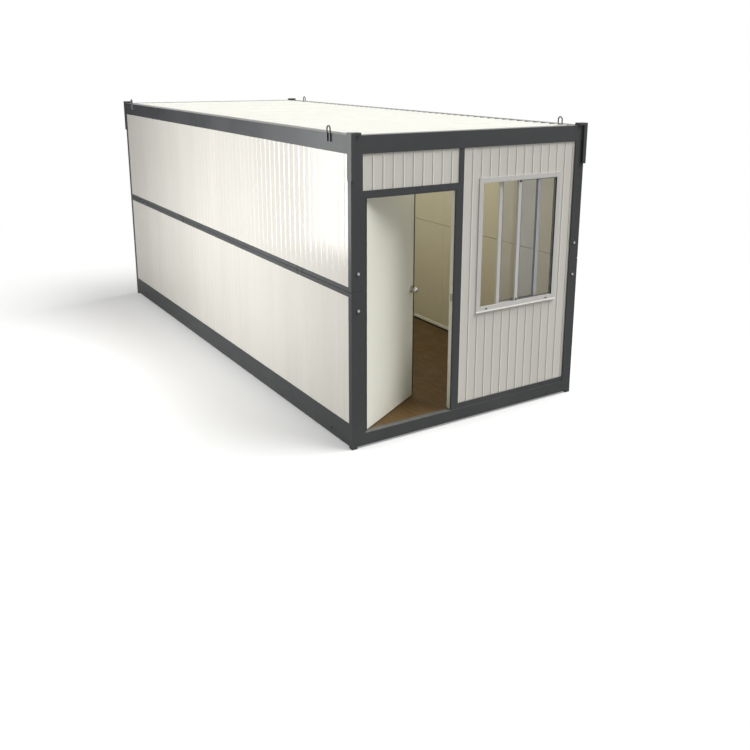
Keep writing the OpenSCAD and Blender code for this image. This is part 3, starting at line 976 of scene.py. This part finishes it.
doorValues = {
    "liningThick": 0.0012,
    "liningFoot": 0.002,
    "hingeRoom": 0.018,         # bare strip beside the hinges
    "sealWidth": 0.005,
    "sealThick": 0.0032,
    "sealFoot": 0.012,
    "sealRounding": 0.001,
    "trimThick": 0.0012,
    "trimLap": 0.020,
    "trimRounding": 0.0004,
    "coreThick": 0.0008,
    "coreInset": 0.002,
    "coreEndGap": 0.0006,
    "coreDrop": 0.001,
    "plateHeight": 0.155,
    "plateWidth": 0.024,
    "plateThick": 0.0016,
    "plateRounding": 0.0003,
    "strikeHeight": 0.060,
    "strikeWidth": 0.024,
    "strikeThick": 0.0012,
    "strikeBar": 0.007,
    "strikeInset": 0.018,
    "screwRadius": 0.0042,
    "screwHeight": 0.0012,
    "screwPlaces": ((0.022, 0.14), (0.030, 0.5), (0.022, 0.86)),    # across, and share of the height
    "knuckleReach": 0.020,      # the leaf plates begin beyond this
    "hingeGap": 0.12,           # corners further apart than this belong to different hinges
    "lockScrewRadius": 0.0034,
    "lockScrewHeight": 0.0008,
    "lockScrewInset": 0.012,
}

thresholdValues = {
    "height": 0.004,
    "depth": 0.052,
    "slope": 0.006,
    "setBack": 0.004,
    "grips": 4,
    "gripStart": 0.014,
    "gripPitch": 0.008,
    "gripWidth": 0.003,
    "gripHeight": 0.0012,
    "gripProud": 0.0008,
    "gripEnd": 0.004,
    "gripRounding": 0.0003,
}

doorJoint = next(joint for joint in frame["joints"] if joint["name"] == "door_hinge")
leafYaw = math.radians(-doorJoint["range_deg"][0])
hingePlace = Vector((doorJoint["pos_m"][0], doorJoint["pos_m"][1], 0.0))
leafTurn = Matrix.Translation(hingePlace) @ Matrix.Rotation(leafYaw, 4, "Z")
leafLow, leafHigh = localBox("door_leaf", leafTurn)
knobMiddle = leafTurn.inverted() @ ((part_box("door_knob")[0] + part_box("door_knob")[1]) / 2)
sideways = Matrix(((0, 0, 1, 0), (1, 0, 0, 0), (0, 1, 0, 0), (0, 0, 0, 1)))    # XYZ to YZX


def addDoorway():
    values = doorValues
    across = stepsOf("door_frame", 0)
    jambLeft, stopLeft, stopRight, jambRight = across[1], across[2], across[-3], across[-2]
    stopBack = stepsOf("door_frame", 1)[1]
    _, stopTop, headLow = stepsOf("door_frame", 2)[:3]
    frameLow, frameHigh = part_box("door_frame")
    thick = values["liningThick"]
    foot = frameLow.z + values["liningFoot"]
    blockPiece("jambLining", [
        ((jambRight - thick, stopBack, foot), (jambRight, frameHigh.y, headLow)),
        ((jambLeft, stopBack, foot), (jambLeft + thick, frameHigh.y - values["hingeRoom"], headLow)),
        ((jambLeft + thick, stopBack, headLow - thick), (jambRight - thick, frameHigh.y, headLow)),
    ], doorPaint)
    wide = values["sealWidth"]
    back = stopBack + values["sealThick"]
    foot = frameLow.z + values["sealFoot"]
    blockPiece("doorSeal", [
        ((stopLeft - wide, stopBack, foot), (stopLeft, back, stopTop)),
        ((stopRight, stopBack, foot), (stopRight + wide, back, stopTop)),
        ((stopLeft - wide, stopBack, stopTop), (stopRight + wide, back, stopTop + wide)),
    ], blackRubber, rounding=values["sealRounding"])
    addThreshold(thresholdValues, stopLeft, stopRight, frameLow)


def addThreshold(values, left, right, frameLow):
    # a low ramped plate across the doorway, with ridges to tread on
    front = frameLow.y + values["setBack"]
    back = front + values["depth"]
    rise = values["height"]
    slope = values["slope"]
    bm = bmesh.new()
    outline = [(front, 0.0), (front + slope, rise), (back - slope, rise), (back, 0.0)]
    addPrism(bm, outline, left, right, Matrix.Translation((0.0, 0.0, frameLow.z)) @ sideways)
    top = frameLow.z + rise + values["gripProud"]
    for i in range(values["grips"]):
        y = front + values["gripStart"] + i * values["gripPitch"]
        addBlock(bm, (left + values["gripEnd"], y, top - values["gripHeight"]),
                 (right - values["gripEnd"], y + values["gripWidth"], top), values["gripRounding"])
    finishPiece("doorThreshold", meshOf(bm, "threshold"), charcoalCoat)


def addLeafTrims():
    # dark steel strips round the free edge that lap over both door sheets, black strips along the hinge edge
    # and the foot, and the lock's face plate in the free edge
    values = doorValues
    thick = values["trimThick"]
    low = leafLow
    high = leafHigh
    lap = high.x - values["trimLap"]
    blockPiece("leafFreeEdge", [
        ((lap, low.y - thick, low.z), (high.x, low.y, high.z)),
        ((lap, high.y, low.z), (high.x, high.y + thick, high.z)),
        ((high.x, low.y - thick, low.z), (high.x + thick, high.y + thick, high.z)),
    ], darkSteel, "door", values["trimRounding"], leafTurn)
    inset = values["coreInset"]
    near = low.y + inset
    gap = values["coreEndGap"]
    blockPiece("leafCoreEdges", [
        ((low.x - values["coreThick"], near, low.z + gap), (low.x, high.y - 2 * inset, high.z - gap)),
        ((low.x + 2 * inset, near, low.z - values["coreDrop"]), (high.x - 2 * inset, high.y - inset, low.z)),
    ], blackRubber, "door", 0.0, leafTurn)
    face = high.x + thick
    middle = (low.y + high.y) / 2
    wide = values["plateWidth"] / 2
    tall = values["plateHeight"] / 2
    blockPiece("lockFacePlate", [
        ((face, middle - wide, knobMiddle.z - tall), (face + values["plateThick"] / 2, middle + wide,
                                                      knobMiddle.z + tall)),
    ], zincCoat, "door", values["plateRounding"], leafTurn)


screwValues = {
    "sides": 16,
    "profile": ((1.0, 0.0), (1.0, 0.45), (0.72, 0.9), (0.42, 1.0)),    # shares of the radius and height
    "armReach": 0.30,
    "armDepth": 0.35,
    "flatReach": 0.16,
    "flatDepth": 0.95,
    "seed": 3,
}


def screwMesh(values, radius, height):
    # a pan head with a cross recess, standing up along Z
    bm = bmesh.new()
    sides = values["sides"]
    around = [Vector((math.cos(2 * math.pi * i / sides), math.sin(2 * math.pi * i / sides), 0.0))
              for i in range(sides)]
    up = Vector((0.0, 0.0, height))
    rows = [[bm.verts.new(spoke * radius * wide + up * high) for spoke in around]
            for wide, high in values["profile"]]
    recess = []
    for i, spoke in enumerate(around):
        part = "arm" if i % 4 == 0 else "flat"
        recess.append(bm.verts.new(spoke * radius * values[part + "Reach"] + up * values[part + "Depth"]))
    rows.append(recess)
    for lower, upper in zip(rows, rows[1:]):
        for i in range(sides):
            after = (i + 1) % sides
            bm.faces.new((lower[i], lower[after], upper[after], upper[i]))
    bm.faces.new(list(reversed(rows[0])))
    bm.faces.new(recess)
    return meshOf(bm, "screw")


def addScrews(name, points, facing, radius, height):
    places = [leafTurn @ Vector(point) for point in points]
    mesh = placeCopies(places, screwMesh(screwValues, radius, height), {
        "Facing": facing, "Twist": math.pi, "Seed": screwValues["seed"], "Material": zincCoat})
    finishPiece(name, mesh, zincCoat, "door", smooth=True)


def addDoorScrews():
    # three screws in each leaf plate, and two in the lock's face plate
    values = doorValues
    corners = pointsOf("leaf_hinges", leafTurn)
    plateFace = max(corner.y for corner in corners if corner.x > values["knuckleReach"])
    spans = []
    for z in stepsOf("leaf_hinges", 2):
        if not spans or z - spans[-1][1] > values["hingeGap"]:
            spans.append([z, z])
        spans[-1][1] = z
    points = [(x, plateFace, low + share * (high - low)) for low, high in spans
              for x, share in values["screwPlaces"]]
    addScrews("hingeScrews", points, (math.radians(-90), 0.0, leafYaw),
              values["screwRadius"], values["screwHeight"])
    plate = leafHigh.x + values["trimThick"] + values["plateThick"] / 2
    middle = (leafLow.y + leafHigh.y) / 2
    reach = values["plateHeight"] / 2 - values["lockScrewInset"]
    points = [(plate, middle, knobMiddle.z + side * reach) for side in (-1, 1)]
    addScrews("lockScrews", points, (0.0, math.radians(90), leafYaw),
              values["lockScrewRadius"], values["lockScrewHeight"])


def addStrikePlate():
    values = doorValues
    face = stepsOf("door_frame", 0)[-2] - values["liningThick"]
    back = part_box("door_frame")[1].y - values["strikeInset"]
    low = knobMiddle.z - values["strikeHeight"] / 2
    place = Matrix.Translation((face, back, low)) @ Matrix.Rotation(math.radians(-90), 4, "Z")
    bm = bmesh.new()
    addRing(bm, (0.0, 0.0, 0.0), (values["strikeWidth"], values["strikeThick"], values["strikeHeight"]),
            values["strikeBar"], 0.0, place)
    finishPiece("strikePlate", meshOf(bm, "strike"), darkSteel)


addDoorway()
addLeafTrims()
addDoorScrews()
addStrikePlate()
print("door: lined, sealed and trimmed")


# window: gaskets, tracks, brush seals, drip sill, drain caps and sash blocks

windowValues = {
    "gasket": 0.003,
    "gasketProud": 0.0012,
    "gasketDeep": 0.004,
    "pile": 0.0015,
    "pileFront": 0.001,
    "pileBack": 0.0002,
    "trackWide": 0.004,
    "trackHigh": 0.009,
    "trackShortest": 0.002,
    "dripReach": 0.012,
    "dripHigh": 0.010,
    "dripLip": 0.006,
    "dripLap": 0.004,
    "dripLift": 0.004,
    "dripEdge": 0.001,
    "dripSink": 0.006,
    "capWide": 0.022,
    "capHigh": 0.009,
    "capProud": 0.003,
    "capInset": 0.112,
    "capRise": 0.020,
    "capSink": 0.001,
    "blockWide": 0.014,
    "blockHigh": 0.020,
    "blockDeep": 0.005,
    "rounding": 0.001,
    "latchLow": (-0.011, 0.0, -0.045),      # from the middle of the stile's inner face
    "latchHigh": (0.011, 0.004, 0.045),
    "leverLow": (-0.006, 0.004, -0.006),
    "leverHigh": (0.024, 0.011, 0.010),
    "latchRounding": 0.0015,
    "leverRounding": 0.002,
}


def addWindowParts():
    values = windowValues
    frameLow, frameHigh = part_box("window_frame")
    outerLow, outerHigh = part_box("outer_sash")
    innerLow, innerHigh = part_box("inner_sash")
    sashes = ((outerLow, outerHigh), (innerLow, innerHigh))
    stile = outerHigh.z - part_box("window_glass")[1].z
    across = stepsOf("window_frame", 0, 5)
    upward = stepsOf("window_frame", 2, 5)
    wallLeft, faceLeft, faceRight, wallRight = across[1], across[2], across[-3], across[-2]
    faceBottom, faceTop = upward[2], upward[-3]

    proud = values["gasketProud"]
    deep = values["gasketDeep"]
    bm = bmesh.new()
    for low, high in sashes:
        for y0, y1 in ((low.y - proud, low.y + deep), (high.y - deep, high.y + proud)):
            addRing(bm, (low.x + stile, y0, low.z + stile), (high.x - stile, y1, high.z - stile),
                    values["gasket"])
    finishPiece("glassGaskets", meshOf(bm, "gaskets"), greyRubber)

    # the dark pile seal on the upright inner edges of the frame's face; its black is also painted shade of
    # the gap between frame and sash
    front = frameLow.y + values["pileFront"]
    back = outerLow.y - values["pileBack"]
    blockPiece("pileSeals", [
        ((faceLeft, front, faceBottom), (faceLeft + values["pile"], back, faceTop)),
        ((faceRight - values["pile"], front, faceBottom), (faceRight, back, faceTop)),
    ], blackRubber)

    tracks = []
    half = values["trackWide"] / 2
    for low, high in sashes:
        y = (low.y + high.y) / 2
        for z0, z1 in ((low.z, low.z + values["trackHigh"]), (high.z - values["trackHigh"], high.z)):
            for x0, x1 in ((wallLeft, low.x), (high.x, wallRight)):
                if x1 - x0 > values["trackShortest"]:
                    tracks.append(((x0, y - half, z0), (x1, y + half, z1)))
    blockPiece("windowTracks", tracks, bareAluminium)

    bm = bmesh.new()
    dripTop = frameLow.z + values["dripLift"]
    dripFoot = dripTop - values["dripHigh"]
    reach = frameLow.y - values["dripReach"]
    outline = [(reach, dripFoot), (reach + values["dripEdge"], dripFoot + values["dripLip"]),
               (frameLow.y, dripTop), (frameLow.y + values["dripSink"], dripFoot)]
    addPrism(bm, outline, frameLow.x - values["dripLap"], frameHigh.x + values["dripLap"], sideways)
    finishPiece("windowDrip", meshOf(bm, "drip"), windowPlastic)

    half = values["capWide"] / 2
    tall = values["capHigh"] / 2
    z = frameLow.z + values["capRise"]
    blockPiece("drainCaps", [
        ((x - half, frameLow.y - values["capProud"], z - tall),
         (x + half, frameLow.y + values["capSink"], z + tall))
        for x in (frameLow.x + values["capInset"], frameHigh.x - values["capInset"])
    ], blackRubber, rounding=values["rounding"])

    half = values["blockWide"] / 2
    x = outerLow.x + stile / 2
    blockPiece("sashBlocks", [
        ((x - half, outerLow.y - values["blockDeep"], z0), (x + half, outerLow.y, z0 + values["blockHigh"]))
        for z0 in (faceBottom, faceTop - values["blockHigh"])
    ], blackRubber, rounding=values["rounding"])

    bm = bmesh.new()
    middle = Vector((innerHigh.x - stile / 2, innerHigh.y, (innerLow.z + innerHigh.z) / 2))
    for part in ("latch", "lever"):
        addBlock(bm, middle + Vector(values[part + "Low"]), middle + Vector(values[part + "High"]),
                 values[part + "Rounding"])
    finishPiece("sashLatch", meshOf(bm, "latch"), zincCoat)


addWindowParts()
print("window: gaskets, tracks and fittings in")


# weld beads where the lifting rings and corner guides meet the beams

weldValues = {
    "beadStep": 0.0035,
    "beadRadius": 0.0032,
    "sizeChange": 0.18,
    "twist": 1.5,
    "seed": 11,
    "legShare": 0.36,       # where the beads run beside a ring's leg, as a share of the rod
    "sink": 0.0005,
    "endGap": 0.004,
    "legGap": 0.002,        # from the foot of a ring's leg to its first bead
}


def weldRun(start, end):
    start = Vector(start)
    end = Vector(end)
    count = max(2, round((end - start).length / weldValues["beadStep"]))
    return [start.lerp(end, i / count) for i in range(count + 1)]


def addWelds():
    values = weldValues
    ringLow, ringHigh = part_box("lifting_rings")
    beamLow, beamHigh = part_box("roof_left_beam")
    ringStart = min(y for y in stepsOf("lifting_rings", 1, 6) if y > 0)
    guideEnd = min(y for y in stepsOf("corner_guides", 1, 6) if y > 0)
    rod = beamLow.x - ringLow.x
    top = beamHigh.z - values["endGap"]
    runs = []
    for leg in (ringHigh.y - rod / 2, ringStart + rod / 2):
        for offset in (-1, 1):
            runs.append((leg, offset * rod * values["legShare"], ringLow.z + values["legGap"]))
    runs.append((guideEnd - values["sink"], 0.0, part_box("roof_front_beam")[0].z + values["endGap"]))
    points = []
    for side in (-1, 1):
        x = side * (values["sink"] - beamLow.x)
        for end in (-1, 1):
            for away, shift, foot in runs:
                y = end * away + shift
                points += weldRun((x, y, foot), (x, y, top))
    bm = bmesh.new()
    bmesh.ops.create_icosphere(bm, subdivisions=1, radius=values["beadRadius"])
    mesh = placeCopies(points, meshOf(bm, "bead"), {
        "Twist": values["twist"], "Size Change": values["sizeChange"], "Seed": values["seed"],
        "Material": charcoalCoat})
    finishPiece("weldBeads", mesh, charcoalCoat, smooth=True)


addWelds()
print("frame: weld beads on")


# pale floor, white surroundings and soft studio light

studioValues = {
    "worldLight": 0.28,
    "worldTone": (1.0, 0.99, 0.97, 1.0),
    "keyStrength": 3.75,
    "keyTurn": (-0.70, 0.34),    # lean of the key light towards +X and towards +Y
    "keyAngle": 50.0,
    "bounceTone": paint(160, 160, 159),    # what the walls and the underside see of the floor
    "floorTones": (paint(240, 240, 239), paint(236, 236, 235)),
    "floorShade": 0.74,          # share of the floor's own shading that the camera sees
    "floorGrain": (30.0, 3.0),   # scale and detail
    "floorRadius": 30.0,
    "floorDrop": 0.0005,
    "fadeFrom": 3.0,
    "fadeTo": 9.0,
}

softBoxes = {
    "sideBox": {"place": (-5.0, -0.4, 1.8), "target": (-1.2, -0.4, 1.3), "size": (2.0, 2.0),
                "radiance": 12.4},
    "roomLight": {"place": (0.0, -0.6, 2.40), "target": (0.0, -0.6, 0.0), "size": (1.6, 4.2),
                  "radiance": 1.48, "colour": (0.965, 0.99, 0.92)},
    "sheenBox": {"place": (-3.65, 1.25, 1.80), "target": (-1.2, 1.25, 1.80), "size": (2.10, 2.48),
                 "radiance": 5.4, "glossOnly": True},
}

darkCardValues = {
    "left": -6.0,
    "right": -1.3,
    "away": 7.5,
    "height": 4.0,
    "thick": 0.01,
    "tones": (paint(58, 58, 58), paint(64, 64, 64)),
    "grain": (200.0, 2.0),
    "fadeFrom": 0.2,     # heights between which the card comes in
    "fadeTo": 2.6,
}


def addWorld(values):
    world = bpy.data.worlds.new("studio")
    world.use_nodes = True
    tree = world.node_tree
    tree.nodes.clear()
    path = put(tree, "ShaderNodeLightPath")
    seen = maths(tree, "MAXIMUM", path.outputs["Is Camera Ray"], path.outputs["Is Glossy Ray"])
    seen = maths(tree, "MAXIMUM", seen, path.outputs["Is Transmission Ray"])
    dim = put(tree, "ShaderNodeBackground", {"Color": values["worldTone"], "Strength": values["worldLight"]})
    white = put(tree, "ShaderNodeBackground", {"Color": (1.0, 1.0, 1.0, 1.0), "Strength": 1.0})
    both = put(tree, "ShaderNodeMixShader", {0: seen, 1: dim.outputs[0], 2: white.outputs[0]})
    put(tree, "ShaderNodeOutputWorld", {"Surface": both.outputs[0]})
    scene.world = world


def addFloor(values):
    material, tree = startMaterial("studioFloor")
    coords = objectCoords(tree)
    away = put(tree, "ShaderNodeVectorMath", {0: coords}, operation="LENGTH").outputs["Value"]
    fade = put(tree, "ShaderNodeMapRange", {
        "Value": away, "From Min": values["fadeFrom"], "From Max": values["fadeTo"],
        "To Min": 1.0 - values["floorShade"], "To Max": 1.0}, interpolation_type="SMOOTHSTEP").outputs[0]
    path = put(tree, "ShaderNodeLightPath")
    seen = maths(tree, "MAXIMUM", path.outputs["Is Camera Ray"], path.outputs["Is Transmission Ray"])
    share = maths(tree, "MULTIPLY", fade, seen)
    noise = noiseOf(tree, coords, *values["floorGrain"])
    pale = mixColour(tree, noise, *values["floorTones"])
    unseen = maths(tree, "MAXIMUM", path.outputs["Is Diffuse Ray"], path.outputs["Is Glossy Ray"])
    pale = mixColour(tree, unseen, pale, values["bounceTone"])
    matt = put(tree, "ShaderNodeBsdfDiffuse", {"Color": pale})
    white = put(tree, "ShaderNodeEmission", {"Color": (1.0, 1.0, 1.0, 1.0), "Strength": 1.0})
    both = put(tree, "ShaderNodeMixShader", {0: share, 1: matt.outputs[0], 2: white.outputs[0]})
    closeMaterial(tree, both.outputs[0])
    bm = bmesh.new()
    bmesh.ops.create_circle(bm, cap_ends=True, segments=96, radius=values["floorRadius"])
    mesh = meshOf(bm, "studioFloor", False)
    mesh.materials.append(material)
    floor = addObject("studioFloor", mesh)
    floor.location.z = -values["floorDrop"]


def addSun(name, strength, turn, angle):
    data = bpy.data.lights.new(name, "SUN")
    data.energy = strength
    data.angle = math.radians(angle)
    lamp = addObject(name, data)
    lamp.rotation_euler = Vector((turn[0], turn[1], -1.0)).normalized().to_track_quat("-Z", "Y").to_euler()


def addSoftBox(name, values):
    # a soft box of the given brightness, unseen by the camera itself
    data = bpy.data.lights.new(name, "AREA")
    data.shape = "RECTANGLE"
    width, height = values["size"]
    data.size = width
    data.size_y = height
    data.energy = values["radiance"] * width * height * math.pi
    data.color = values.get("colour", (1.0, 1.0, 1.0))
    lamp = addObject(name, data)
    place = Vector(values["place"])
    lamp.location = place
    lamp.rotation_euler = (Vector(values["target"]) - place).to_track_quat("-Z", "Y").to_euler()
    lamp.visible_camera = False
    lamp.visible_diffuse = not values.get("glossOnly", False)


def addDarkCard(values):
    # a black studio card off the rear left corner, seen only in the gloss of the left side
    material, tree = startMaterial("darkCard")
    coords = objectCoords(tree)
    colour = mixColour(tree, noiseOf(tree, coords, *values["grain"]), *values["tones"])
    fade = spread(tree, heightOf(tree, coords), values["fadeFrom"], values["fadeTo"])
    matt = put(tree, "ShaderNodeBsdfDiffuse", {"Color": colour})
    clear = put(tree, "ShaderNodeBsdfTransparent")
    both = put(tree, "ShaderNodeMixShader", {0: fade, 1: clear.outputs[0], 2: matt.outputs[0]})
    closeMaterial(tree, both.outputs[0])
    bm = bmesh.new()
    addBlock(bm, (values["left"], values["away"], 0.0),
             (values["right"], values["away"] + values["thick"], values["height"]))
    mesh = meshOf(bm, "darkCard")
    mesh.materials.append(material)
    card = addObject("darkCard", mesh)
    card.visible_camera = False
    card.visible_diffuse = False
    card.visible_transmission = False
    card.visible_shadow = False


addWorld(studioValues)
addFloor(studioValues)
addSun("keyLight", studioValues["keyStrength"], studioValues["keyTurn"], studioValues["keyAngle"])
for boxName, boxValues in softBoxes.items():
    addSoftBox(boxName, boxValues)
addDarkCard(darkCardValues)

scene.view_settings.view_transform = "Standard"
print("studio: floor and lights ready")
